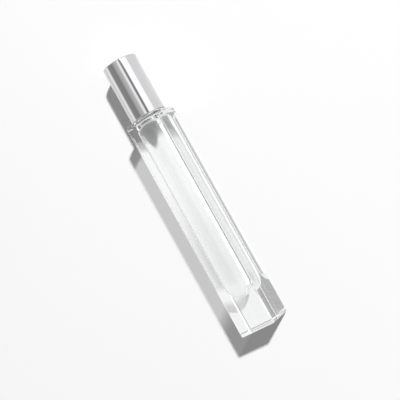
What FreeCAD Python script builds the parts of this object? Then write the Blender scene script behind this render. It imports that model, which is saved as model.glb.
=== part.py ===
"""Square glass roll on bottle with a ball applicator and a screw cap, in millimetres.

The pieces are drawn upright, with the bottle's axis along Z and its base at zero.
They are then laid on one side: +Z up, the axis along +Y from the base to the cap.
The origin is on the resting surface, under the middle of the whole bottle.
"""
import FreeCAD, Part
import math
import os

Vector = FreeCAD.Vector

# Roller ball and the plastic housing that holds it in the neck
ball_diameter = 8.0
ball_clearance = 0.1
lip_height = 1.9
head_wall = 1.0
head_edge_radius = 0.4
plug_length = 6.5
plug_wall = 1.0
plug_clearance = 0.03
plug_rib_radius = 0.4
plug_rib_interference = 0.05
plug_rib_shares = (0.35, 0.7)

# Glass bottle: thick square body, round-bottomed cavity and threaded neck
body_side = 16.0
body_height = 96.0
body_corner_radius = 1.0
heel_radius = 0.7
shoulder_radius = 0.9
base_thickness = 13.8
side_wall = 1.7
shoulder_thickness = 2.0
cavity_dome_share = 0.65
neck_ledge = 0.2
neck_wall = 1.5
neck_plain_length = 3.3
neck_rim_radius = 0.4

# Screw thread between neck and cap: one start, right-handed
thread_pitch = 3.0
thread_depth = 0.7
thread_foot = 1.7
thread_root_share = 0.36
thread_crest_share = 0.16
thread_embed = 0.2
thread_clearance = 0.25
neck_thread_turns = 1.5
cap_thread_turns = 1.25

# Seal: a soft pad that presses on the ball, on a stem in the inner cap's boss
seal_gap = 0.1
seal_thickness = 1.2
seal_width_share = 0.8
seal_stem_diameter = 3.6
seal_stem_clearance = 0.05
seal_stem_share = 0.7

# Cap: a plastic inner cap inside a thin polished shell
cap_gap = 0.4
inner_cap_recess = 0.3
inner_cap_wall = 0.82
inner_cap_ceiling = 1.2
inner_cap_clearance = 0.03
boss_length = 4.48
boss_wall = 1.1
shell_wall = 0.4
shell_edge_radius = 0.5

# Length by which cutting tools run past the faces they cut
overrun = 1.0

# Heights that differ by less than this are the same height
match_tolerance = 0.001

# Radii from the ball outwards to the cap's shell
ball_radius = ball_diameter / 2
socket_radius = ball_radius + ball_clearance
head_radius = socket_radius + head_wall
neck_radius = head_radius + neck_ledge
neck_bore_radius = neck_radius - neck_wall
plug_radius = neck_bore_radius - plug_clearance
feed_radius = plug_radius - plug_wall
cap_thread_radius = neck_radius + thread_depth + thread_clearance
inner_cap_radius = cap_thread_radius + inner_cap_wall
shell_bore_radius = inner_cap_radius + inner_cap_clearance
cap_radius = shell_bore_radius + shell_wall
cavity_radius = body_side / 2 - side_wall
seal_radius = ball_radius * seal_width_share
seal_stem_radius = seal_stem_diameter / 2
boss_bore_radius = seal_stem_radius + seal_stem_clearance
boss_radius = boss_bore_radius + boss_wall

# Heights from the base upwards
cavity_top = body_height - shoulder_thickness
cap_thread_base = body_height + thread_foot
neck_thread_base = cap_thread_base + thread_pitch / 2
neck_top = neck_thread_base + neck_thread_turns * thread_pitch + neck_plain_length
ball_height = neck_top + math.sqrt(socket_radius ** 2 - feed_radius ** 2)
head_top = ball_height + lip_height
seal_base = ball_height + ball_radius + seal_gap
boss_base = seal_base + seal_thickness
ceiling_base = boss_base + boss_length
inner_cap_top = ceiling_base + inner_cap_ceiling
cap_base = body_height + cap_gap
cap_top = inner_cap_top + shell_wall


def at(radius, height):
    """Return the point at a radius and a height in the section plane."""
    return Vector(radius, 0, height)


def line(start, end):
    """Return a straight edge."""
    return Part.LineSegment(start, end).toShape()


def arc(centre, start, end):
    """Return the shorter circular edge about a centre from one point to another."""
    halfway = (start - centre).normalize() + (end - centre).normalize()
    middle = centre + halfway.normalize() * start.distanceToPoint(centre)
    return Part.Arc(start, middle, end).toShape()


def path(*points):
    """Return straight edges through the points in order."""
    return [line(start, end) for start, end in zip(points, points[1:])]


def revolve(edges):
    """Return the solid that a closed section sweeps about the bottle's axis."""
    section = Part.Face(Part.Wire(Part.__sortEdges__(edges)))
    return section.revolve(Vector(0, 0, 0), Vector(0, 0, 1), 360)


def tube(outer_radius, inner_radius, base, top):
    """Return a plain round tube between two heights."""
    outer = Part.makeCylinder(outer_radius, top - base, at(0, base))
    inner = Part.makeCylinder(inner_radius, top - base + 2 * overrun, at(0, base - overrun))
    return outer.cut(inner)


def edges_at(shape, height):
    """Return the shape's edges that lie wholly at one height."""
    found = []
    for edge in shape.Edges:
        box = edge.BoundBox
        if max(abs(box.ZMin - height), abs(box.ZMax - height)) < match_tolerance:
            found.append(edge)
    return found


def thread_ridge(root_radius, crest_radius, base, turns):
    """Return a helical ridge with a tapered section, from its root radius to its crest radius."""
    root_half = thread_pitch * thread_root_share / 2
    crest_half = thread_pitch * thread_crest_share / 2
    section = Part.makePolygon([
        at(root_radius, base - root_half),
        at(crest_radius, base - crest_half),
        at(crest_radius, base + crest_half),
        at(root_radius, base + root_half),
        at(root_radius, base - root_half),
    ])
    helix = Part.makeHelix(thread_pitch, thread_pitch * turns, neck_radius)
    helix.translate(at(0, base))
    return Part.Wire(helix.Edges).makePipeShell([section], True, True)


def square_body():
    """Return the solid square body with rounded upright edges, heel and shoulder."""
    half = body_side / 2
    body = Part.makeBox(body_side, body_side, body_height, Vector(-half, -half, 0))
    upright = [edge for edge in body.Edges if edge.BoundBox.ZLength > body_height / 2]
    body = body.makeFillet(body_corner_radius, upright)
    body = body.makeFillet(heel_radius, edges_at(body, 0))
    return body.makeFillet(shoulder_radius, edges_at(body, body_height))


def bottle_cavity():
    """Return the space inside the bottle: round bottom, straight wall, dome and neck bore."""
    step = cavity_radius - neck_bore_radius
    dome_radius = step * cavity_dome_share
    blend_radius = step - dome_radius
    dome_base = cavity_top - step
    wall_base = base_thickness + cavity_radius
    dome_end = at(neck_bore_radius + blend_radius, dome_base + dome_radius)
    mouth = neck_top + overrun
    edges = [
        arc(at(0, wall_base), at(0, base_thickness), at(cavity_radius, wall_base)),
        line(at(cavity_radius, wall_base), at(cavity_radius, dome_base)),
        arc(at(cavity_radius - dome_radius, dome_base), at(cavity_radius, dome_base), dome_end),
        arc(at(neck_bore_radius + blend_radius, cavity_top), dome_end, at(neck_bore_radius, cavity_top)),
    ]
    edges += path(
        at(neck_bore_radius, cavity_top),
        at(neck_bore_radius, mouth),
        at(0, mouth),
        at(0, base_thickness),
    )
    return revolve(edges)


def make_glass_bottle():
    """Return the glass bottle with its cavity, neck and neck thread."""
    neck = Part.makeCylinder(neck_radius, neck_top - cavity_top, at(0, cavity_top))
    neck = neck.makeFillet(neck_rim_radius, edges_at(neck, neck_top))
    ridge = thread_ridge(
        neck_radius - thread_embed, neck_radius + thread_depth, neck_thread_base, neck_thread_turns)
    return square_body().fuse(neck).cut(bottle_cavity()).fuse(ridge).removeSplitter()


def make_ball_housing():
    """Return the plastic housing: a ribbed plug in the neck and a socket head on its rim."""
    plug_base = neck_top - plug_length
    lip_radius = math.sqrt(socket_radius ** 2 - lip_height ** 2)
    edge_start = at(head_radius, head_top - head_edge_radius)
    edge_end = at(head_radius - head_edge_radius, head_top)
    edge_centre = at(head_radius - head_edge_radius, head_top - head_edge_radius)
    edges = path(
        at(feed_radius, neck_top),
        at(feed_radius, plug_base),
        at(plug_radius, plug_base),
        at(plug_radius, neck_top),
        at(head_radius, neck_top),
        edge_start,
    )
    edges.append(arc(edge_centre, edge_start, edge_end))
    edges.append(line(edge_end, at(lip_radius, head_top)))
    edges.append(arc(at(0, ball_height), at(lip_radius, head_top), at(feed_radius, neck_top)))
    housing = revolve(edges)
    rib_centre_radius = neck_bore_radius + plug_rib_interference - plug_rib_radius
    for share in plug_rib_shares:
        rib = Part.makeTorus(rib_centre_radius, plug_rib_radius, at(0, plug_base + plug_length * share))
        housing = housing.fuse(rib)
    return housing.removeSplitter()


def make_roller_ball():
    """Return the roller ball."""
    return Part.makeSphere(ball_radius, at(0, ball_height))


def make_cap_seal():
    """Return the soft seal: a pad hollowed to the ball's curve, with a stem above it."""
    cup_radius = ball_radius + seal_gap
    rim_height = ball_height + math.sqrt(cup_radius ** 2 - seal_radius ** 2)
    stem_top = boss_base + boss_length * seal_stem_share
    edges = [arc(at(0, ball_height), at(0, seal_base), at(seal_radius, rim_height))]
    edges += path(
        at(seal_radius, rim_height),
        at(seal_radius, boss_base),
        at(seal_stem_radius, boss_base),
        at(seal_stem_radius, stem_top),
        at(0, stem_top),
        at(0, seal_base),
    )
    return revolve(edges)


def make_inner_cap():
    """Return the threaded inner cap, with the hollow boss that carries the seal."""
    wall = tube(inner_cap_radius, cap_thread_radius, cap_base + inner_cap_recess, ceiling_base)
    ceiling = Part.makeCylinder(inner_cap_radius, inner_cap_ceiling, at(0, ceiling_base))
    boss = tube(boss_radius, boss_bore_radius, boss_base, ceiling_base)
    ridge = thread_ridge(
        cap_thread_radius + thread_embed, neck_radius + thread_clearance, cap_thread_base, cap_thread_turns)
    return wall.fuse(ceiling).fuse(boss).fuse(ridge).removeSplitter()


def make_cap_shell():
    """Return the thin polished shell over the inner cap."""
    shell = Part.makeCylinder(cap_radius, cap_top - cap_base, at(0, cap_base))
    shell = shell.makeFillet(shell_edge_radius, edges_at(shell, cap_top))
    hollow = Part.makeCylinder(
        shell_bore_radius, inner_cap_top - cap_base + overrun, at(0, cap_base - overrun))
    return shell.cut(hollow)


def lay_down(shape):
    """Return the shape turned from upright to lying on one side, about the part's origin."""
    laid = shape.copy()
    laid.rotate(Vector(0, 0, 0), Vector(1, 0, 0), -90)
    laid.translate(Vector(0, -cap_top / 2, body_side / 2))
    return laid


def main():
    """Build every piece and write one file for each."""
    pieces = {
        "glass_bottle": make_glass_bottle(),
        "ball_housing": make_ball_housing(),
        "roller_ball": make_roller_ball(),
        "cap_seal": make_cap_seal(),
        "inner_cap": make_inner_cap(),
        "cap_shell": make_cap_shell(),
    }
    os.makedirs("parts", exist_ok=True)
    for name, shape in pieces.items():
        laid = lay_down(shape)
        laid.exportStep("parts/" + name + ".step")
        print(name, "solids", len(laid.Solids), "valid", laid.isValid(), "mm3", round(laid.Volume, 1))
    print("whole length mm", round(cap_top, 2), "cap diameter mm", round(2 * cap_radius, 2))
    print("ball centre above the base mm", round(ball_height, 3))


main()
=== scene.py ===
"""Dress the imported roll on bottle: its meshes, finishes, floor, light and camera.

Sections are drawn in millimetres, as a distance from the bottle's axis and a height above its base.
The finished meshes are in metres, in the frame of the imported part: +Z up, +Y from the base to the cap.
"""
import logging
import math
from dataclasses import dataclass
from enum import Enum
from typing import Any

import bmesh
import bpy
from mathutils import Matrix, Vector


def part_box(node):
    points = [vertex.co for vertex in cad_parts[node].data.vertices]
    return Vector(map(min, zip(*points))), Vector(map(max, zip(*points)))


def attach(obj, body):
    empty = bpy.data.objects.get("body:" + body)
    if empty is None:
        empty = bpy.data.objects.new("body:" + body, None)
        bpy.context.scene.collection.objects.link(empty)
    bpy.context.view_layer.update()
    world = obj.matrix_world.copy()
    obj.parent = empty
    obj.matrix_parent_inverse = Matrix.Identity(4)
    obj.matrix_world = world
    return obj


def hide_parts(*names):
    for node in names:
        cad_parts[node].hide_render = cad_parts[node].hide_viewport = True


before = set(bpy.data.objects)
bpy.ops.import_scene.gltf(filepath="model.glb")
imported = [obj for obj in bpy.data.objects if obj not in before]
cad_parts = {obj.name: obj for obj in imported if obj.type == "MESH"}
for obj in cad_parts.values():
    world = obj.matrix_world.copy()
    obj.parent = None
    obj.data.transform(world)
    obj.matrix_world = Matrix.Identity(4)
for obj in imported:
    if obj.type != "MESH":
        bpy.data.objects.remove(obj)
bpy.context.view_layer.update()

log = logging.getLogger("roll_on_bottle")

MM = 0.001
LENGTHWISE = Vector((0.0, 1.0, 0.0))
FULL_TURN = 2.0 * math.pi
WELD_DISTANCE = 1.0e-7
LEVEL_TOLERANCE = 1.0e-6
WHITE = (1.0, 1.0, 1.0, 1.0)
PHOTO_SIDE_PX = 400
SENSOR_MM = 36.0

glass_low, glass_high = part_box("glass_bottle")
BASE_Y = glass_low.y
AXIS_CENTRE = Vector((0.0, 0.0, (glass_low.z + glass_high.z) / 2.0))

Number = float | int
Colour = tuple[float, float, float, float]
Cells = tuple[float, float, float]


class Body(Enum):
    """The bodies of the part that pieces ride on."""

    BOTTLE = "bottle"
    BALL = "ball"
    SEAL = "seal"
    CAP = "cap"


class Side(Enum):
    """Which way a thread stands out from its wall."""

    OUTWARDS = 1.0
    INWARDS = -1.0


def place(radius: float, height: float) -> Vector:
    """Return the point of the frame at a distance from the axis and a height above the base.

    Args:
        radius: Distance from the bottle's axis, in millimetres.
        height: Height above the bottle's base along its axis, in millimetres.

    Returns:
        The point, in metres, on the right-hand side of the axis.
    """
    return AXIS_CENTRE + Vector((radius * MM, BASE_Y + height * MM, 0.0))


class Section:
    """Half of the cross section of a turned piece, drawn point by point."""

    def __init__(self, radius: float, height: float) -> None:
        """Start the section at a point.

        Args:
            radius: Distance from the axis, in millimetres.
            height: Height above the base, in millimetres.
        """
        self.points: list[tuple[float, float]] = [(radius, height)]
        self.closed = False

    def to(self, radius: float, height: float, parts: int = 1) -> "Section":
        """Draw a straight line, in equal parts where a thread is raised on it later.

        Args:
            radius: Distance of its end from the axis, in millimetres.
            height: Height of its end above the base, in millimetres.
            parts: Number of equal parts.

        Returns:
            This section, to go on drawing.
        """
        start_radius, start_height = self.points[-1]
        for part in range(1, parts + 1):
            share = part / parts
            self.points.append((
                start_radius + (radius - start_radius) * share,
                start_height + (height - start_height) * share,
            ))
        return self

    def turn(self, radius: float, height: float, degrees: float, parts: int = 8) -> "Section":
        """Draw an arc from the last point about a centre.

        Args:
            radius: Distance of the centre from the axis, in millimetres.
            height: Height of the centre above the base, in millimetres.
            degrees: Angle of the arc, positive from the outside towards the top.
            parts: Number of equal parts.

        Returns:
            This section, to go on drawing.
        """
        last_radius, last_height = self.points[-1]
        reach = Vector((last_radius - radius, last_height - height))
        for part in range(1, parts + 1):
            swung = Matrix.Rotation(math.radians(degrees) * part / parts, 2) @ reach
            self.points.append((max(radius + swung.x, 0.0), height + swung.y))
        return self

    def close(self) -> "Section":
        """Join the last point to the first, for a ring, and return this section."""
        self.closed = True
        return self

    def spin(self, mesh: bmesh.types.BMesh, steps: int) -> None:
        """Turn the section once about the bottle's axis.

        Args:
            mesh: The mesh that takes the turned surface.
            steps: Number of steps in the full turn.
        """
        line = [mesh.verts.new(place(radius, height)) for radius, height in self.points]
        links = [mesh.edges.new(pair) for pair in zip(line, line[1:])]
        if self.closed:
            links.append(mesh.edges.new((line[-1], line[0])))
        bmesh.ops.spin(
            mesh, geom=line + links, cent=AXIS_CENTRE, axis=LENGTHWISE,
            angle=FULL_TURN, steps=steps, use_merge=True,
        )


def weld(mesh: bmesh.types.BMesh) -> None:
    """Close the seams and poles of a mesh and turn its faces outwards.

    Args:
        mesh: The mesh to close.
    """
    bmesh.ops.remove_doubles(mesh, verts=mesh.verts, dist=WELD_DISTANCE)
    bmesh.ops.recalc_face_normals(mesh, faces=mesh.faces)


def turned(section: Section, steps: int = 128) -> bmesh.types.BMesh:
    """Make a turned piece from its section.

    Args:
        section: The section, closed or with both ends on the axis.
        steps: Number of steps round the axis.

    Returns:
        The closed mesh.
    """
    mesh = bmesh.new()
    section.spin(mesh, steps)
    weld(mesh)
    return mesh


@dataclass(frozen=True)
class Thread:
    """A right-handed screw thread with one start, raised on a wall that has fine rows.

    Attributes:
        root: Radius of the wall, in millimetres.
        depth: How far the ridge stands out, in millimetres.
        base: Height at which the ridge starts, in millimetres.
        turns: Number of turns.
        side: Whether the ridge stands outwards or inwards.
        pitch: Rise for each turn, in millimetres.
        foot: Width of the ridge at the wall, in millimetres.
        crest: Width of the ridge at its top, in millimetres.
        run_out: Share of a turn over which each end fades into the wall.
    """

    root: float
    depth: float
    base: float
    turns: float
    side: Side
    pitch: float = 3.0
    foot: float = 1.2
    crest: float = 0.4
    run_out: float = 0.1

    def share_at(self, turn: float, height: float) -> float:
        """Return how much of its depth the ridge has at a place.

        Args:
            turn: Angle round the axis as a share of a turn, from 0 to 1.
            height: Height above the base, in millimetres.

        Returns:
            0 on the bare wall to 1 on the crest.
        """
        rise = (height - self.base) / self.pitch
        winding = turn + round(rise - turn)
        ends = min(winding, self.turns - winding) / self.run_out
        if ends <= 0.0:
            return 0.0
        off = abs(rise - winding) * self.pitch
        flank = (self.foot / 2.0 - off) / ((self.foot - self.crest) / 2.0)
        share = min(max(flank, 0.0), 1.0) * min(ends, 1.0)
        return share * share * (3.0 - 2.0 * share)

    def raise_on(self, mesh: bmesh.types.BMesh) -> None:
        """Move the rows of the wall out along the ridge.

        Args:
            mesh: The mesh that has the wall.
        """
        for vert in mesh.verts:
            away = Vector((vert.co.x, 0.0, vert.co.z - AXIS_CENTRE.z))
            if abs(away.length - self.root * MM) > 2.0 * WELD_DISTANCE:
                continue
            turn = (math.atan2(-away.z, away.x) / FULL_TURN) % 1.0
            share = self.share_at(turn, (vert.co.y - BASE_Y) / MM)
            vert.co += away.normalized() * (share * self.depth * MM * self.side.value)


class Signal:
    """A shader value, on which arithmetic adds Math nodes."""

    def __init__(self, board: "NodeBoard", socket: bpy.types.NodeSocket) -> None:
        """Keep the socket that carries the value, and the board that it is on."""
        self.board = board
        self.socket = socket

    def _join(self, operation: str, first: "Signal | Number", second: "Signal | Number") -> "Signal":
        """Return a Math node's result for two values."""
        return self.board.add("ShaderNodeMath", {"operation": operation}, {0: first, 1: second})

    def __add__(self, other: "Signal | Number") -> "Signal":
        """Return the sum."""
        return self._join("ADD", self, other)

    def __sub__(self, other: "Signal | Number") -> "Signal":
        """Return the difference."""
        return self._join("SUBTRACT", self, other)

    def __rsub__(self, other: Number) -> "Signal":
        """Return the difference from a number."""
        return self._join("SUBTRACT", other, self)

    def __mul__(self, other: "Signal | Number") -> "Signal":
        """Return the product."""
        return self._join("MULTIPLY", self, other)

    def __pow__(self, other: Number) -> "Signal":
        """Return a power."""
        return self._join("POWER", self, other)

    def size(self) -> "Signal":
        """Return the value without its sign."""
        return self.board.add("ShaderNodeMath", {"operation": "ABSOLUTE"}, {0: self})

    def most(self, other: "Signal | Number") -> "Signal":
        """Return the larger of two values."""
        return self._join("MAXIMUM", self, other)

    def above(self, limit: Number) -> "Signal":
        """Return 1 where the value is above a limit, and otherwise 0."""
        return self._join("GREATER_THAN", self, limit)

    def step(self, start: float, end: float, first: float = 0.0, last: float = 1.0) -> "Signal":
        """Return a smooth step.

        Args:
            start: Where the step starts.
            end: Where it ends, above or below its start.
            first: The result before the step.
            last: The result past it.

        Returns:
            A signal between the two results.
        """
        return self.board.add("ShaderNodeMapRange", {"interpolation_type": "SMOOTHSTEP"}, {
            0: self, 1: start, 2: end, 3: first, 4: last,
        })

    def output(self, name: str) -> "Signal":
        """Return another output of the same node."""
        return Signal(self.board, self.socket.node.outputs[name])


class NodeBoard:
    """The node tree of one finish or of the studio, with one way to add any node."""

    def __init__(self, tree: bpy.types.NodeTree) -> None:
        """Clear the tree and keep it."""
        tree.nodes.clear()
        self.tree = tree

    def add(
        self,
        kind: str,
        settings: dict[str, Any] | None = None,
        sockets: dict[int | str, Any] | None = None,
        output: int | str = 0,
    ) -> Signal:
        """Add a node.

        Args:
            kind: The node's type.
            settings: Values set on the node itself, and a ramp's "stops".
            sockets: Numbers, colours or signals for its inputs, by name or number.
            output: The output to return, by name or number.

        Returns:
            The signal of that output.
        """
        node = self.tree.nodes.new(kind)
        for name, value in (settings or {}).items():
            if name == "stops":
                self._fill_ramp(node.color_ramp, value)
            else:
                setattr(node, name, value)
        for name, value in (sockets or {}).items():
            if isinstance(value, Signal):
                self.tree.links.new(value.socket, node.inputs[name])
            else:
                node.inputs[name].default_value = value
        return Signal(self, node.outputs[output]) if len(node.outputs) else Signal(self, None)

    @staticmethod
    def _fill_ramp(ramp: bpy.types.ColorRamp, stops: list[tuple[float, float]]) -> None:
        """Give a ramp its stops.

        Args:
            ramp: The ramp.
            stops: Positions from 0 to 1 with their grey levels, in rising order.
        """
        while len(ramp.elements) < len(stops):
            ramp.elements.new(1.0)
        for element, (position, grey) in zip(ramp.elements, stops):
            element.position = position
            element.color = (grey, grey, grey, 1.0)

    def grain(self, cells_per_metre: Cells, detail: float = 2.0) -> Signal:
        """Add noise on the piece's own coordinates.

        Args:
            cells_per_metre: How fine the noise is along each axis.
            detail: Number of finer layers.

        Returns:
            A signal about one half, between 0 and 1.
        """
        own = self.add("ShaderNodeTexCoord", output="Object")
        stretched = self.add(
            "ShaderNodeMapping", {"vector_type": "POINT"}, {"Vector": own, "Scale": cells_per_metre},
        )
        return self.add("ShaderNodeTexNoise", sockets={"Vector": stretched, "Scale": 1.0, "Detail": detail})

    def relief(self, height: Signal, depth: float) -> Signal:
        """Add a bump.

        Args:
            height: The height of the relief, from 0 to 1.
            depth: Its depth in metres.

        Returns:
            The signal for a shader's Normal.
        """
        return self.add("ShaderNodeBump", sockets={"Strength": 1.0, "Distance": depth, "Height": height})

    def blend(self, share: Signal, first: Colour, second: Colour) -> Signal:
        """Return the mix of two colours by the share of the second."""
        return self.add("ShaderNodeMix", {"data_type": "RGBA"}, {0: share, 6: first, 7: second}, 2)

    def show(self, shader: Signal, kind: str = "ShaderNodeOutputMaterial") -> None:
        """Join a shader to the tree's output."""
        self.add(kind, sockets={"Surface": shader})


def new_material(name: str) -> tuple[bpy.types.Material, NodeBoard]:
    """Make a material with an empty board.

    Args:
        name: The material's name.

    Returns:
        The material and its board.
    """
    material = bpy.data.materials.new(name)
    material.use_nodes = True
    return material, NodeBoard(material.node_tree)


@dataclass(frozen=True)
class Span:
    """A stretch of one axis over which a share changes smoothly.

    Attributes:
        start: Place where the change starts, in millimetres.
        end: Place where it ends, in millimetres.
        first: The share before the start.
        last: The share past the end.
    """

    start: float
    end: float
    first: float = 0.0
    last: float = 1.0

    def at(self, spot: Signal, origin: float = 0.0) -> Signal:
        """Return the share at a place.

        Args:
            spot: The place on the axis, in metres.
            origin: The place that the span is measured from, in metres.

        Returns:
            The share there.
        """
        return spot.step(origin + self.start * MM, origin + self.end * MM, self.first, self.last)


@dataclass(frozen=True)
class PaintedGlassShadow:
    """Painted shadows: the shares of lamp light that masks on the glass hold back, by the place on it.

    They paint the shadows that the glass casts on the floor, also where the floor shows through the glass, in
    place of bent light that isn't traced. The lamp is on the +X side.
    The base's end holds back all of its light. Places are in millimetres, along the axes of the part's frame.

    Attributes:
        skin: Distance inwards from an outer face over which a place comes to count as on that face.
        side: Painted shadow share on the side away from the lamp, by the height above the floor.
        base_side: Painted shadow share on that side along the solid base.
        neck: Painted shadow share on that side along the shoulder.
        shoulder: Painted shadow share on all of the glass along the shoulder.
        wall: Distance from the axis over which a place comes to count as on the cavity's wall.
        bowl: Where the cavity's round bottom lies along the bottle.
        bowl_side: Painted shadow share on that bottom, across the bottle.
        wedge: Painted shadow share on the lying face in a wedge below the shoulder, along the wedge's middle
            line.
        wedge_middle: Place of that line across the bottle.
        wedge_slope: How fast the wedge's end draws back with the distance from that line.
        under: Where the painted shade on the rest of the lying face builds up along the bottle.
        under_side: Share of that painted shade, across the bottle.
    """

    skin: Span = Span(0.9, 0.2)
    side: Span = Span(5.5, 9.5, 0.2, 0.54)
    base_side: Span = Span(-30.0, -52.0, 0.0, 0.94)
    neck: Span = Span(27.5, 30.5, 0.0, 0.92)
    shoulder: Span = Span(31.0, 34.0, 0.0, 0.5)
    wall: Span = Span(7.0, 6.6)
    bowl: Span = Span(-38.5, -42.5)
    bowl_side: Span = Span(0.5, 4.0, 0.0, 0.4)
    wedge: Span = Span(20.5, 23.5, 0.0, 0.88)
    wedge_middle: float = -2.8
    wedge_slope: float = 14.0
    under: Span = Span(10.0, -32.0)
    under_side: Span = Span(-3.0, -6.0, 0.14, 0.42)

    def passed(self, board: NodeBoard) -> Signal:
        """Return the share of lamp light that passes the painted shadows.

        Args:
            board: The board of the glass.

        Returns:
            A signal from 0 to 1, by the place on the glass.
        """
        own = board.add("ShaderNodeTexCoord", output="Object")
        across = board.add("ShaderNodeSeparateXYZ", sockets={0: own}, output="X")
        along, rise = across.output("Y"), across.output("Z")
        far_side = self.skin.at(across, glass_low.x)
        base_end = self.skin.at(along, glass_low.y)
        lying_face = self.skin.at(rise, glass_low.z)
        depth = rise - AXIS_CENTRE.z
        cavity_wall = self.wall.at((across * across + depth * depth) ** 0.5) * (1.0 - base_end)
        in_bowl = self.bowl.at(along)
        far = self.side.at(rise).most(self.base_side.at(along)).most(self.neck.at(along))
        bowl = in_bowl * self.bowl_side.at(across)
        off_middle = (across - self.wedge_middle * MM).size()
        wedge = self.wedge.at(along - off_middle * self.wedge_slope)
        under = self.under_side.at(across) * self.under.at(along) * (1.0 - in_bowl)
        # Painted shadows: the masks that hold lamp light back on the far side, the cavity's bottom and the
        # lying face.
        painted_shade = (far_side * far).most(cavity_wall * bowl).most(lying_face * wedge.most(under))
        return 1.0 - painted_shade.most(self.shoulder.at(along)).most(base_end)


@dataclass(frozen=True)
class ClearGlass:
    """Polished clear glass that bends what is seen and lets lamp light through, less where it paints shadows.

    Attributes:
        name: The material's name.
        colour: Colour of the light that passes.
        ior: Index of refraction.
        roughness: Roughness of the fire-polished skin.
        waves: Slow waves of the moulded skin for each metre along each axis.
        ripple: Depth of those waves, in metres.
        loss: Painted shadows: where masks on the glass hold lamp light back.
        deepest: Number of reflections inside the glass, past which a ray leaves it.
    """

    name: str = "clear_glass"
    colour: Colour = (0.985, 0.99, 0.99, 1.0)
    ior: float = 1.5
    roughness: float = 0.0
    waves: Cells = (170.0, 22.0, 170.0)
    ripple: float = 2.0e-5
    loss: PaintedGlassShadow = PaintedGlassShadow()
    deepest: float = 2.5

    def material(self) -> bpy.types.Material:
        """Return the material."""
        material, board = new_material(self.name)
        body = board.add("ShaderNodeBsdfPrincipled", sockets={
            "Base Color": self.colour,
            "Roughness": self.roughness,
            "IOR": self.ior,
            "Transmission Weight": 1.0,
            "Normal": board.relief(board.grain(self.waves, detail=1.0), self.ripple),
        })
        lamp_ray = board.add("ShaderNodeLightPath", output="Is Shadow Ray")
        # Shadow rays pass the glass less where the painted shadows hold lamp light back.
        passing = lamp_ray * self.loss.passed(board) + lamp_ray.output("Is Diffuse Ray")
        trapped = lamp_ray.output("Glossy Depth").above(self.deepest)
        clear = board.add("ShaderNodeBsdfTransparent", sockets={"Color": WHITE})
        board.show(board.add("ShaderNodeMixShader", sockets={0: passing.most(trapped), 1: body, 2: clear}))
        return material


@dataclass(frozen=True)
class PolishedMetal:
    """Bright metal with fine lines from polishing and faint handling marks.

    Attributes:
        name: The material's name.
        colour: Colour of its reflections.
        roughness: Roughness of the cleanest parts.
        marks: Extra roughness where it has been handled.
        lines: Polishing lines for each metre along each axis.
        line_depth: Depth of the lines, in metres.
        smears: Handling marks for each metre along each axis.
    """

    name: str
    colour: Colour
    roughness: float
    marks: float
    lines: Cells
    line_depth: float
    smears: Cells = (190.0, 90.0, 190.0)

    def material(self) -> bpy.types.Material:
        """Return the material."""
        material, board = new_material(self.name)
        smears = board.grain(self.smears, detail=3.0)
        lines = board.grain(self.lines)
        metal = board.add("ShaderNodeBsdfPrincipled", sockets={
            "Base Color": self.colour,
            "Metallic": 1.0,
            "Roughness": smears ** 2.0 * self.marks + lines * self.marks + self.roughness,
            "Normal": board.relief(lines, self.line_depth),
        })
        board.show(metal)
        return material


@dataclass(frozen=True)
class MouldedPolymer:
    """A moulded plastic or elastomer with a faint skin texture.

    Attributes:
        name: The material's name.
        colour: Its colour where it is cleanest.
        shade: Its colour in the slightly dull parts.
        roughness: Roughness of its skin.
        depth_share: Share of light that scatters below the skin.
        texture: Depth of the skin's texture, in metres.
        clouds: Dull parts for each metre along each axis.
        pores: Pores of the skin for each metre along each axis.
        pore_roughness: Extra roughness in the pores.
        scatter: How far light scatters below the skin, in metres.
    """

    name: str
    colour: Colour
    shade: Colour
    roughness: float
    depth_share: float
    texture: float
    clouds: Cells = (260.0, 260.0, 260.0)
    pores: Cells = (5200.0, 5200.0, 5200.0)
    pore_roughness: float = 0.12
    scatter: float = 0.0012

    def material(self) -> bpy.types.Material:
        """Return the material."""
        material, board = new_material(self.name)
        pores = board.grain(self.pores)
        polymer = board.add("ShaderNodeBsdfPrincipled", sockets={
            "Base Color": board.blend(board.grain(self.clouds, detail=3.0), self.colour, self.shade),
            "Roughness": pores * self.pore_roughness + self.roughness,
            "Subsurface Weight": self.depth_share,
            "Subsurface Scale": self.scatter,
            "Normal": board.relief(pores, self.texture),
        })
        board.show(polymer)
        return material


@dataclass(frozen=True)
class PaleSurface:
    """The smooth pale board that the bottle lies on.

    Attributes:
        name: The material's name.
        colour: Its colour.
        shade: Its colour in the slightly greyer parts.
        clouds: Greyer parts for each metre along each axis.
        roughness: Roughness of its skin.
    """

    name: str = "pale_board"
    colour: Colour = (0.985, 0.985, 0.985, 1.0)
    shade: Colour = (0.965, 0.965, 0.965, 1.0)
    clouds: Cells = (9.0, 9.0, 9.0)
    roughness: float = 0.9

    def material(self) -> bpy.types.Material:
        """Return the material."""
        material, board = new_material(self.name)
        board.show(board.add("ShaderNodeBsdfPrincipled", sockets={
            "Base Color": board.blend(board.grain(self.clouds), self.colour, self.shade),
            "Roughness": self.roughness,
            "Specular IOR Level": 0.0,
        }))
        return material


Finish = ClearGlass | PolishedMetal | MouldedPolymer


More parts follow.
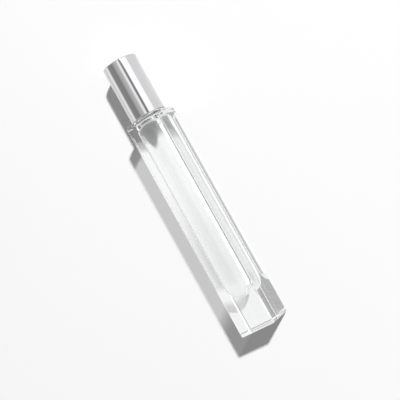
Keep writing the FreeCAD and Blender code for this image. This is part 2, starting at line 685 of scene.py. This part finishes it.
@dataclass(frozen=True)
class Seat:
    """Where a piece belongs in the part.

    Attributes:
        name: The piece's name.
        body: The body that it rides on.
        node: The node of the part that it stands for.
        slot: The material slot of the part that it takes.
    """

    name: str
    body: Body
    node: str
    # slot: The material slot of the part that it stands for; not used.
    slot: str

    def settle(
        self, mesh: bmesh.types.BMesh, finish: Finish, sharp_degrees: float = 35.0,
    ) -> bpy.types.Object:
        """Make an object of a mesh and join it to the part.

        Args:
            mesh: The finished mesh, which is used up.
            finish: The finish of its whole surface.
            sharp_degrees: Edges that turn by more than this stay sharp.

        Returns:
            The object.
        """
        data = bpy.data.meshes.new(self.name)
        mesh.to_mesh(data)
        mesh.free()
        data.shade_smooth()
        data.set_sharp_from_angle(angle=math.radians(sharp_degrees))
        data.materials.append(finish.material())
        piece = bpy.data.objects.new(self.name, data)
        bpy.context.scene.collection.objects.link(piece)
        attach(piece, self.body.value)
        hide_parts(self.node)
        log.info("%s: %d faces on body %s", self.name, len(data.polygons), self.body.value)
        return piece


@dataclass
class GlassBottle:
    """The thick square bottle with a round cavity and a threaded neck.

    Lengths are in millimetres, and heights are above the base.

    Attributes:
        side: Side of the square body.
        height: Height of the shoulder.
        corner: Radius of the long edges.
        heel: Radius of the edges round the base.
        shoulder: Radius of the edges round the shoulder.
        base_thickness: Thickness of the solid base.
        cavity_radius: Radius of the cavity.
        cavity_top: Height at which the cavity meets the neck's bore.
        dome_share: Share of the step from cavity to bore that the dome takes, before the blend into the bore.
        neck_radius: Radius of the neck below its thread.
        neck_root: Radius of the fillet at the neck's foot.
        bore_radius: Radius of the neck's bore.
        neck_top: Height of the neck's rim.
        rim: Radius of the rim's outer edge.
        finish: The glass.
        seat: Where the bottle belongs in the part.
        thread: The thread on the neck.
    """

    side: float = 16.0
    height: float = 96.0
    corner: float = 1.0
    heel: float = 0.7
    shoulder: float = 0.9
    base_thickness: float = 13.8
    cavity_radius: float = 6.3
    cavity_top: float = 94.0
    dome_share: float = 0.65
    neck_radius: float = 5.3
    neck_root: float = 0.3
    bore_radius: float = 3.8
    neck_top: float = 107.0
    rim: float = 0.4
    finish: ClearGlass = ClearGlass()
    seat: Seat = Seat("bottle_glass", Body.BOTTLE, "glass_bottle", "clear_glass")
    thread: Thread = Thread(root=5.3, depth=0.7, base=99.2, turns=1.5, side=Side.OUTWARDS)

    @staticmethod
    def _in_plane(item: bmesh.types.BMEdge | bmesh.types.BMFace, height: float) -> bool:
        """Return whether an edge or a face lies in the plane at a height above the base."""
        level = BASE_Y + height * MM
        return all(abs(vert.co.y - level) < LEVEL_TOLERANCE for vert in item.verts)

    def _end_edges(self, mesh: bmesh.types.BMesh, height: float) -> list[bmesh.types.BMEdge]:
        """Return the edges that lie in the plane at a height above the base."""
        return [edge for edge in mesh.edges if self._in_plane(edge, height)]

    @staticmethod
    def _round(
        mesh: bmesh.types.BMesh, edges: list[bmesh.types.BMEdge], radius: float, segments: int = 8,
    ) -> None:
        """Round some edges of the block.

        Args:
            mesh: The block.
            edges: The edges to round.
            radius: The radius in millimetres.
            segments: Number of facets in each rounding.
        """
        bmesh.ops.bevel(
            mesh, geom=edges, offset=radius * MM, offset_type="OFFSET", segments=segments,
            profile=0.5, affect="EDGES", material=-1,
        )

    def block(self) -> bmesh.types.BMesh:
        """Return the square body with rounded edges, and its shoulder face still closed."""
        mesh = bmesh.new()
        bmesh.ops.create_cube(mesh, size=1.0)
        middle = AXIS_CENTRE + LENGTHWISE * (BASE_Y + self.height * MM / 2.0)
        bmesh.ops.scale(mesh, vec=(self.side * MM, self.height * MM, self.side * MM), verts=mesh.verts)
        bmesh.ops.translate(mesh, vec=middle, verts=mesh.verts)
        long_edges = [edge for edge in mesh.edges if edge.calc_length() > self.side * MM + LEVEL_TOLERANCE]
        self._round(mesh, long_edges, self.corner, segments=12)
        self._round(mesh, self._end_edges(mesh, 0.0), self.heel)
        self._round(mesh, self._end_edges(mesh, self.height), self.shoulder)
        return mesh

    def inside(self) -> Section:
        """Return the section from the foot of the neck over its rim and down to the cavity's bottom."""
        step = self.cavity_radius - self.bore_radius
        dome = step * self.dome_share
        blend = step - dome
        wall_top = self.cavity_top - step
        wall_base = self.base_thickness + self.cavity_radius
        section = Section(self.neck_radius + self.neck_root, self.height)
        section.turn(self.neck_radius + self.neck_root, self.height + self.neck_root, -90.0, parts=4)
        section.to(self.neck_radius, self.neck_top - self.rim, parts=72)
        section.turn(self.neck_radius - self.rim, self.neck_top - self.rim, 90.0, parts=6)
        section.to(self.bore_radius, self.neck_top)
        section.to(self.bore_radius, self.cavity_top)
        section.turn(self.bore_radius + blend, self.cavity_top, 90.0, parts=10)
        section.turn(self.bore_radius + blend, wall_top, -90.0, parts=14)
        section.to(self.cavity_radius, wall_base)
        return section.turn(0.0, wall_base, -90.0, parts=28)

    def build(self) -> bpy.types.Object:
        """Build the bottle and join it to the part.

        Returns:
            The bottle.
        """
        mesh = self.block()
        lid = next(face for face in mesh.faces if self._in_plane(face, self.height))
        outer = list(lid.edges)
        bmesh.ops.delete(mesh, geom=[lid], context="FACES_ONLY")
        known = set(mesh.edges)
        self.inside().spin(mesh, steps=160)
        foot = [edge for edge in self._end_edges(mesh, self.height) if edge not in known and edge.is_boundary]
        bmesh.ops.bridge_loops(mesh, edges=outer + foot)
        weld(mesh)
        self.thread.raise_on(mesh)
        bmesh.ops.recalc_face_normals(mesh, faces=mesh.faces)
        piece = self.seat.settle(mesh, self.finish)
        flats = piece.modifiers.new("flats", "WEIGHTED_NORMAL")
        flats.keep_sharp = True
        return piece


@dataclass
class Applicator:
    """The plastic housing in the neck and the steel ball that it holds.

    Lengths are in millimetres, and heights are above the bottle's base.

    Attributes:
        neck_top: Height of the neck's rim, on which the head sits.
        plug_length: Length of the plug in the neck.
        plug_radius: Radius of the plug between its ribs.
        feed_radius: Radius of the hole that feeds the ball.
        rib_radius: Radius of a rib's round section.
        rib_centre: Distance of that section's centre from the axis.
        rib_shares: Places of the ribs, as shares of the plug's length from its lower end.
        head_radius: Radius of the head.
        head_edge: Radius of the head's outer edge.
        lip_height: Height of the lip above the ball's centre.
        socket_radius: Radius of the socket.
        ball_radius: Radius of the ball.
        ball_height: Height of the ball's centre.
        housing_finish: The plastic of the housing.
        ball_finish: The steel of the ball.
        housing_seat: Where the housing belongs in the part.
        ball_seat: Where the ball belongs in the part.
    """

    neck_top: float = 107.0
    plug_length: float = 6.5
    plug_radius: float = 3.77
    feed_radius: float = 2.77
    rib_radius: float = 0.4
    rib_centre: float = 3.45
    rib_shares: tuple[float, float] = (0.35, 0.7)
    head_radius: float = 5.1
    head_edge: float = 0.4
    lip_height: float = 1.9
    socket_radius: float = 4.1
    ball_radius: float = 4.0
    ball_height: float = 110.023
    housing_finish: MouldedPolymer = MouldedPolymer(
        "natural_plastic", (0.72, 0.73, 0.74, 1.0), (0.66, 0.67, 0.68, 1.0), 0.32, 0.2, 4.0e-6)
    ball_finish: PolishedMetal = PolishedMetal(
        "polished_steel", (0.8, 0.8, 0.81, 1.0), 0.04, 0.05, (1500.0, 1500.0, 1500.0), 4.0e-7)
    housing_seat: Seat = Seat("housing_plug", Body.BOTTLE, "ball_housing", "housing_plastic")
    ball_seat: Seat = Seat("steel_ball", Body.BALL, "roller_ball", "ball_steel")

    def housing(self) -> Section:
        """Return the section of the housing: a ribbed plug and a socket head with a lip."""
        plug_base = self.neck_top - self.plug_length
        head_top = self.ball_height + self.lip_height
        lip_radius = math.sqrt(self.socket_radius ** 2 - self.lip_height ** 2)
        rib_rise = math.sqrt(self.rib_radius ** 2 - (self.plug_radius - self.rib_centre) ** 2)
        rib_sweep = 2.0 * math.degrees(math.asin(rib_rise / self.rib_radius))
        lead = self.rib_radius / 2.0
        section = Section(self.feed_radius, self.neck_top)
        section.to(self.feed_radius, plug_base).to(self.plug_radius - lead, plug_base)
        section.turn(self.plug_radius - lead, plug_base + lead, 90.0, parts=5)
        for share in self.rib_shares:
            middle = plug_base + self.plug_length * share
            section.to(self.plug_radius, middle - rib_rise)
            section.turn(self.rib_centre, middle, rib_sweep)
        section.to(self.plug_radius, self.neck_top).to(self.head_radius, self.neck_top)
        section.to(self.head_radius, head_top - self.head_edge)
        section.turn(self.head_radius - self.head_edge, head_top - self.head_edge, 90.0)
        section.to(lip_radius, head_top)
        lip_angle = math.degrees(math.atan2(self.lip_height, lip_radius))
        seat_angle = math.degrees(math.atan2(self.neck_top - self.ball_height, self.feed_radius))
        section.turn(0.0, self.ball_height, seat_angle - lip_angle, parts=24)
        section.points.pop()
        return section.close()

    def build(self) -> None:
        """Build the housing and the ball and join them to the part."""
        self.housing_seat.settle(turned(self.housing()), self.housing_finish)
        ball = bmesh.new()
        bmesh.ops.create_icosphere(ball, subdivisions=6, radius=self.ball_radius * MM)
        bmesh.ops.translate(ball, vec=place(0.0, self.ball_height), verts=ball.verts)
        self.ball_seat.settle(ball, self.ball_finish)


@dataclass
class ScrewCap:
    """The polished shell, its threaded liner and the seal.

    Lengths are in millimetres, and heights are above the bottle's base.

    Attributes:
        base: Height of the shell's rim.
        top: Height of the shell's flat end.
        shell_radius: Outer radius of the shell.
        shell_bore: Inner radius of the shell.
        shell_edge: Radius of the edge round the flat end.
        shell_ceiling: Height of the shell's inner end.
        liner_radius: Outer radius of the liner.
        liner_bore: Inner radius of the liner, outside its thread.
        liner_base: Height of the liner's mouth.
        liner_ceiling: Height of the liner's inner end.
        liner_edge: Radius of the liner's edges.
        boss_radius: Outer radius of the boss that holds the seal.
        boss_bore: Radius of the boss's hole.
        boss_base: Height of the boss's lower end.
        ball_height: Height of the ball's centre.
        seal_cup: Radius of the seal's hollow face, about the ball's centre.
        seal_radius: Radius of the seal's pad.
        seal_stem: Radius of the seal's stem.
        seal_stem_top: Height of the stem's end.
        seal_edge: Radius of the seal's edges.
        shell_finish: The metal of the shell.
        liner_finish: The plastic of the liner.
        seal_finish: The rubber of the seal.
        shell_seat: Where the shell belongs in the part.
        liner_seat: Where the liner belongs in the part.
        seal_seat: Where the seal belongs in the part.
        thread: The thread in the liner.
    """

    base: float = 96.4
    top: float = 121.403
    shell_radius: float = 7.5
    shell_bore: float = 7.1
    shell_edge: float = 0.5
    shell_ceiling: float = 121.003
    liner_radius: float = 7.07
    liner_bore: float = 6.25
    liner_base: float = 96.7
    liner_ceiling: float = 119.803
    liner_edge: float = 0.15
    boss_radius: float = 2.95
    boss_bore: float = 1.85
    boss_base: float = 115.323
    ball_height: float = 110.023
    seal_cup: float = 4.1
    seal_radius: float = 3.2
    seal_stem: float = 1.8
    seal_stem_top: float = 118.459
    seal_edge: float = 0.2
    shell_finish: PolishedMetal = PolishedMetal(
        "polished_cap_metal", (0.64, 0.64, 0.65, 1.0), 0.02, 0.05, (60.0, 9000.0, 60.0), 6.0e-7)
    liner_finish: MouldedPolymer = MouldedPolymer(
        "white_liner_plastic", (0.9, 0.9, 0.9, 1.0), (0.86, 0.86, 0.86, 1.0), 0.4, 0.1, 5.0e-6)
    seal_finish: MouldedPolymer = MouldedPolymer(
        "pale_seal_rubber", (0.8, 0.8, 0.78, 1.0), (0.74, 0.74, 0.72, 1.0), 0.55, 0.15, 8.0e-6)
    shell_seat: Seat = Seat("cap_outer_shell", Body.CAP, "cap_shell", "cap_metal")
    liner_seat: Seat = Seat("cap_liner", Body.CAP, "inner_cap", "liner_plastic")
    seal_seat: Seat = Seat("ball_seal", Body.SEAL, "cap_seal", "seal_rubber")
    thread: Thread = Thread(root=6.25, depth=0.7, base=97.7, turns=1.25, side=Side.INWARDS)

    def shell(self) -> Section:
        """Return the section of the shell: inside, rolled rim, side, rounded edge and flat end."""
        half_wall = (self.shell_radius - self.shell_bore) / 2.0
        section = Section(0.0, self.shell_ceiling)
        section.to(self.shell_bore, self.shell_ceiling).to(self.shell_bore, self.base + half_wall)
        section.turn(self.shell_bore + half_wall, self.base + half_wall, 180.0, parts=10)
        section.to(self.shell_radius, self.top - self.shell_edge)
        section.turn(self.shell_radius - self.shell_edge, self.top - self.shell_edge, 90.0, parts=12)
        return section.to(0.0, self.top)

    def liner(self) -> Section:
        """Return the section of the liner: outer wall, mouth, threaded bore, ceiling and hollow boss."""
        edge = self.liner_edge
        thread_zone = self.thread.base + self.thread.turns * self.thread.pitch + self.thread.foot
        section = Section(0.0, self.shell_ceiling)
        section.to(self.liner_radius - edge, self.shell_ceiling)
        section.turn(self.liner_radius - edge, self.shell_ceiling - edge, -90.0, parts=4)
        section.to(self.liner_radius, self.liner_base + edge)
        section.turn(self.liner_radius - edge, self.liner_base + edge, -90.0, parts=4)
        section.to(self.liner_bore + edge, self.liner_base)
        section.turn(self.liner_bore + edge, self.liner_base + edge, -90.0, parts=4)
        section.to(self.liner_bore, thread_zone, parts=48).to(self.liner_bore, self.liner_ceiling)
        section.to(self.boss_radius, self.liner_ceiling).to(self.boss_radius, self.boss_base)
        section.to(self.boss_bore, self.boss_base).to(self.boss_bore, self.liner_ceiling)
        return section.to(0.0, self.liner_ceiling)

    def seal(self) -> Section:
        """Return the section of the seal: cup, rounded rim, pad and stem."""
        edge = self.seal_edge
        cup_degrees = math.degrees(math.asin(self.seal_radius / self.seal_cup))
        section = Section(0.0, self.ball_height + self.seal_cup)
        section.turn(0.0, self.ball_height, -cup_degrees, parts=16)
        section.to(self.seal_radius, self.boss_base - edge)
        section.turn(self.seal_radius - edge, self.boss_base - edge, 90.0, parts=5)
        section.to(self.seal_stem, self.boss_base).to(self.seal_stem, self.seal_stem_top - edge)
        section.turn(self.seal_stem - edge, self.seal_stem_top - edge, 90.0, parts=5)
        return section.to(0.0, self.seal_stem_top)

    def build(self) -> None:
        """Build the shell, the liner and the seal and join them to the part."""
        self.shell_seat.settle(turned(self.shell(), steps=192), self.shell_finish)
        liner = turned(self.liner())
        self.thread.raise_on(liner)
        bmesh.ops.recalc_face_normals(liner, faces=liner.faces)
        self.liner_seat.settle(liner, self.liner_finish)
        self.seal_seat.settle(turned(self.seal(), steps=96), self.seal_finish)


@dataclass
class Studio:
    """The pale floor, the key lamp and the soft panels of the sky.

    Attributes:
        floor_half: Half of the floor's side, in metres.
        lamp_spot: Where the lamp hangs, in metres.
        lamp_width: How wide the lamp is, in metres.
        lamp_power: The lamp's power in watts.
        soft_light: Grey level of the even sky that lights the scene.
        backdrop: Grey level of the white backdrop that is seen round the scene.
        panels: Grey levels of the panels that metal and glass show, by the angle in degrees across the
            bottle, from its left over its top to its right.
        surround: Grey level that they show beyond the ends of the panels.
        near_edge: Where the panels fade in, by the slope of the view along the bottle.
        far_edge: Where they fade out, by that slope.
        skyline: Where they fade in above the floor, by the slope of the view upwards.
        gap: How far the floor is below the bottle, in metres.
        floor_finish: The finish of the floor.
    """

    floor_half: float = 3.0
    lamp_spot: tuple[float, float, float] = (2.85, 1.7, 3.05)
    lamp_width: float = 0.24
    lamp_power: float = 216.0
    panels: tuple[tuple[float, float], ...] = (
        (-92.0, 1.2), (-66.0, 1.15), (-56.0, 0.36), (-22.0, 0.32), (-14.0, 0.5), (-6.0, 0.62), (10.0, 0.72),
        (15.0, 1.2), (26.0, 1.25), (28.5, 0.32), (40.0, 0.32), (45.0, 1.6), (72.0, 1.6), (92.0, 0.8),
    )
    soft_light: float = 0.26
    backdrop: float = 0.95
    surround: float = 0.85
    near_edge: tuple[float, float] = (-0.2, -0.1)
    far_edge: tuple[float, float] = (0.5, 0.36)
    skyline: tuple[float, float] = (0.04, 0.14)
    gap: float = 5.0e-5
    floor_finish: PaleSurface = PaleSurface()

    def lay_floor(self) -> None:
        """Lay the floor under the bottle."""
        mesh = bmesh.new()
        bmesh.ops.create_grid(mesh, x_segments=4, y_segments=4, size=self.floor_half)
        bmesh.ops.translate(mesh, vec=(0.0, 0.0, -self.gap), verts=mesh.verts)
        data = bpy.data.meshes.new("pale_floor")
        mesh.to_mesh(data)
        mesh.free()
        data.materials.append(self.floor_finish.material())
        floor = bpy.data.objects.new("pale_floor", data)
        bpy.context.scene.collection.objects.link(floor)

    def hang_lamp(self) -> None:
        """Hang the key lamp, turned to the bottle."""
        disc = bpy.data.lights.new("key_lamp", "AREA")
        disc.shape = "DISK"
        disc.size = self.lamp_width
        disc.energy = self.lamp_power
        lamp = bpy.data.objects.new("key_lamp", disc)
        lamp.location = self.lamp_spot
        lamp.rotation_euler = Vector(self.lamp_spot).to_track_quat("Z", "Y").to_euler()
        bpy.context.scene.collection.objects.link(lamp)

    def raise_sky(self) -> None:
        """Put up the soft sky, the backdrop that is seen and the panels that metal mirrors."""
        world = bpy.data.worlds.new("studio_sky")
        world.use_nodes = True
        bpy.context.scene.world = world
        board = NodeBoard(world.node_tree)
        way = board.add("ShaderNodeTexCoord", output="Generated")
        across = board.add("ShaderNodeSeparateXYZ", sockets={0: way}, output="X")
        upwards = across.output("Z")
        along = across.output("Y")
        angle = board.add("ShaderNodeMath", {"operation": "ARCTAN2"}, {0: across, 1: upwards})
        stops = [(degrees / 360.0 + 0.5, grey) for degrees, grey in self.panels]
        panels = board.add("ShaderNodeValToRGB", {"stops": stops}, {0: angle * (1.0 / FULL_TURN) + 0.5})
        over = along.step(*self.near_edge) * along.step(*self.far_edge) * upwards.step(*self.skyline)
        mirrored = panels * over + (1.0 - over) * self.surround
        eye_ray = board.add("ShaderNodeLightPath", output="Is Camera Ray")
        shine_ray = eye_ray.output("Is Glossy Ray").most(eye_ray.output("Is Transmission Ray"))
        other_ray = 1.0 - shine_ray.most(eye_ray)
        level = mirrored * shine_ray + eye_ray * self.backdrop + other_ray * self.soft_light
        sky = board.add("ShaderNodeBackground", sockets={"Color": level, "Strength": 1.0})
        board.show(sky, "ShaderNodeOutputWorld")

    def build(self) -> None:
        """Set up the floor, the lamp and the sky."""
        self.lay_floor()
        self.hang_lamp()
        self.raise_sky()
        bpy.context.scene.view_settings.view_transform = "Standard"
        log.info("studio: floor, lamp and sky")


@dataclass
class Viewpoint:
    """The camera at the photograph's viewing angle.

    Attributes:
        target: The point of the bottle in the middle of the picture, in millimetres.
        towards: The way from the target to the camera.
        upwards: The way that is up in the picture.
        distance: Distance from the target, in millimetres.
        focal_px: Focal length in pixels of the photograph.
        near_clip: Nearest distance that is drawn, in metres.
        far_clip: Farthest distance that is drawn, in metres.
    """

    target: tuple[float, float, float] = (1.881, -4.4, 8.187)
    towards: tuple[float, float, float] = (0.4503, -0.0485, 0.8915)
    upwards: tuple[float, float, float] = (0.453, 0.8729, -0.1813)
    distance: float = 342.8
    focal_px: float = 850.0
    near_clip: float = 0.01
    far_clip: float = 20.0

    def build(self) -> None:
        """Set up the camera and make it the scene's own."""
        lens = bpy.data.cameras.new("photo_camera")
        lens.sensor_width = SENSOR_MM
        lens.sensor_fit = "HORIZONTAL"
        lens.lens = self.focal_px * SENSOR_MM / PHOTO_SIDE_PX
        lens.clip_start = self.near_clip
        lens.clip_end = self.far_clip
        back = Vector(self.towards).normalized()
        right = Vector(self.upwards).cross(back).normalized()
        turn = Matrix((right, back.cross(right), back)).transposed().to_4x4()
        spot = Vector(self.target) * MM + back * (self.distance * MM)
        camera = bpy.data.objects.new("photo_camera", lens)
        camera.matrix_world = Matrix.Translation(spot) @ turn
        bpy.context.scene.collection.objects.link(camera)
        bpy.context.scene.camera = camera
        log.info("camera: %.1f mm lens", lens.lens)


def main() -> None:
    """Build the camera, the pieces and the studio."""
    logging.basicConfig(level=logging.INFO, format="%(name)s %(message)s")
    Viewpoint().build()
    GlassBottle().build()
    Applicator().build()
    ScrewCap().build()
    Studio().build()


if __name__ == "__main__":
    main()
